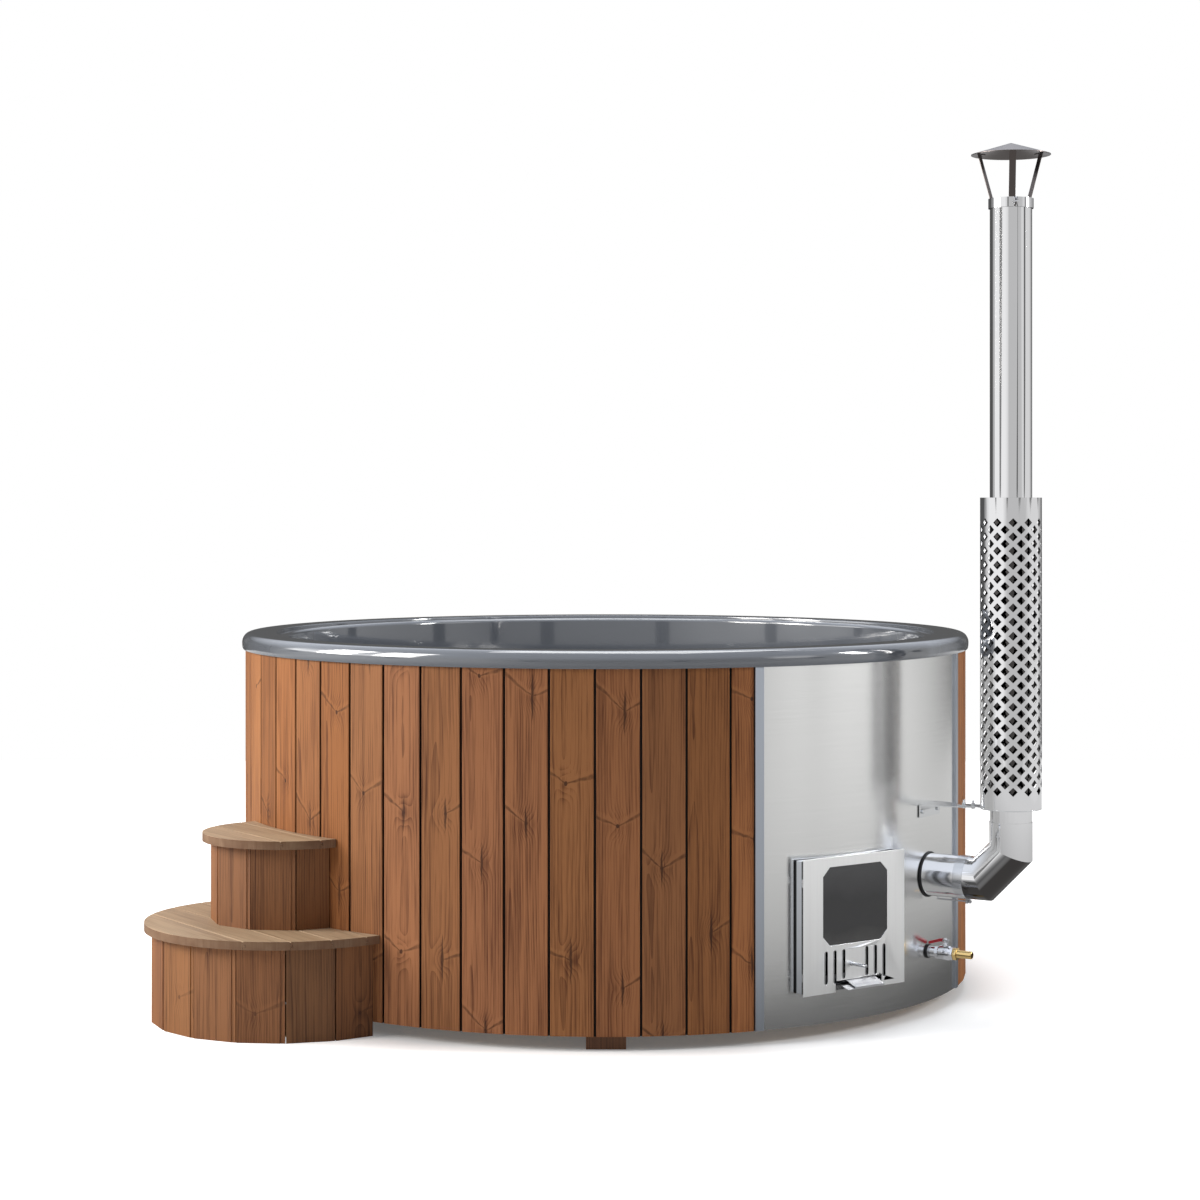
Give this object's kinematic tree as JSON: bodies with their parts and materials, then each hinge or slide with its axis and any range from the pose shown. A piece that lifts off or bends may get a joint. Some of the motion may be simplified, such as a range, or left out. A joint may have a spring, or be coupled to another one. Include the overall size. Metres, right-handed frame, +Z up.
{
  "type": "wooden hot tub",
  "caption": "Round garden hot tub with a moulded liner, an upright board jacket, a built-in wood stove with its flue and rain cap, a drain valve and wooden steps.",
  "frame": {"origin": "on the tub's axis at ground level, at the middle runner's underside", "axes": "+Z up, -Y towards the front between the steps and the stove, +X towards the flue's side"},
  "size_m": [2.3255, 2.0156, 2.247],
  "materials": {
    "jacket_wood": "oiled heat-treated softwood, planed",
    "riser_wood": "oiled heat-treated softwood, fine straight grain",
    "tread_wood": "oiled heat-treated softwood, planed",
    "runner_wood": "sawn timber, impregnated",
    "plywood": "plywood, raw",
    "liner_shell": "moulded acrylic, glossy grey",
    "panel_steel": "brushed along the curve",
    "trim_steel": "satin",
    "door_steel": "brushed upright",
    "frame_steel": "satin",
    "body_steel": "mill finish",
    "black_steel": "heat-resistant black",
    "grate_iron": "as cast",
    "lever_steel": "satin",
    "bracket_steel": "bright",
    "cap_steel": "dark reflecting sheet",
    "flue_steel": "polished stainless",
    "valve_chrome": "plated",
    "tail_brass": "turned",
    "red_plastic": "dipped sleeve",
    "waste_plastic": "moulded",
    "black_rubber": "matt",
    "seal_rope": "woven rope",
    "dark_glass": "tinted stove glass"
  },
  "bodies": {
    "tub": {"runner_middle": "runner_wood", "runners_side": "runner_wood", "base_deck": "plywood", "liner_supports": "plywood", "hoop_lower": "plywood", "hoop_middle": "plywood", "hoop_upper": "plywood", "jacket_right": "jacket_wood", "jacket_back": "jacket_wood", "jacket_left": "jacket_wood", "jacket_front": "jacket_wood", "steel_panel": "panel_steel", "steel_trims": "trim_steel", "panel_ribs": "plywood", "liner": "liner_shell", "drain_strainer": "body_steel", "drain_waste": "waste_plastic", "drain_pipe": "body_steel", "drain_gasket": "black_rubber", "valve_body": "valve_chrome", "hose_tail": "tail_brass", "firebox": "black_steel", "water_jacket": "body_steel", "smoke_duct": "black_steel", "door_frame": "frame_steel", "fire_grate": "grate_iron", "water_pipes": "body_steel", "water_grilles": "body_steel", "hinge_frame": "lever_steel", "hinge_pins": "lever_steel", "flue_stub": "flue_steel", "flue_gasket": "black_rubber", "flue_elbow": "flue_steel", "elbow_clamp": "lever_steel", "chimney_pipe": "flue_steel", "heat_guard": "flue_steel", "guard_ring": "bracket_steel", "guard_spacer": "bracket_steel", "support_bracket": "bracket_steel", "bracket_bolts": "bracket_steel", "cap_collar": "bracket_steel", "cap_legs": "cap_steel", "cap_cone": "cap_steel", "riser_lower": "riser_wood", "tread_lower": "tread_wood", "riser_upper": "riser_wood", "tread_upper": "tread_wood", "step_formers": "plywood"},
    "door": {"door_plate": "door_steel", "door_glass": "dark_glass", "glass_frame": "black_steel", "door_seal": "seal_rope", "door_handle": "lever_steel", "slider_guides": "body_steel", "hinge_door": "lever_steel"},
    "slider": {"air_slider": "door_steel"},
    "lever": {"valve_ball": "valve_chrome", "valve_stem": "valve_chrome", "valve_lever": "lever_steel", "lever_grip": "red_plastic"}
  },
  "joints": [
    {"name": "stove_door", "type": "hinge", "parent": "tub", "child": "door", "pos_m": [0.48403, -0.90886, 0.2775], "axis": [0, 0, -1], "range_deg": [0, 125]},
    {"name": "air_slide", "type": "slide", "parent": "door", "child": "slider", "axis": [0.7944, 0.6074, 0], "range_m": [-0.006, 0.006]},
    {"name": "drain_lever", "type": "hinge", "parent": "tub", "child": "lever", "pos_m": [0.87809, -0.57024, 0.165], "axis": [0, 0, 1], "range_deg": [0, 90]}
  ]
}
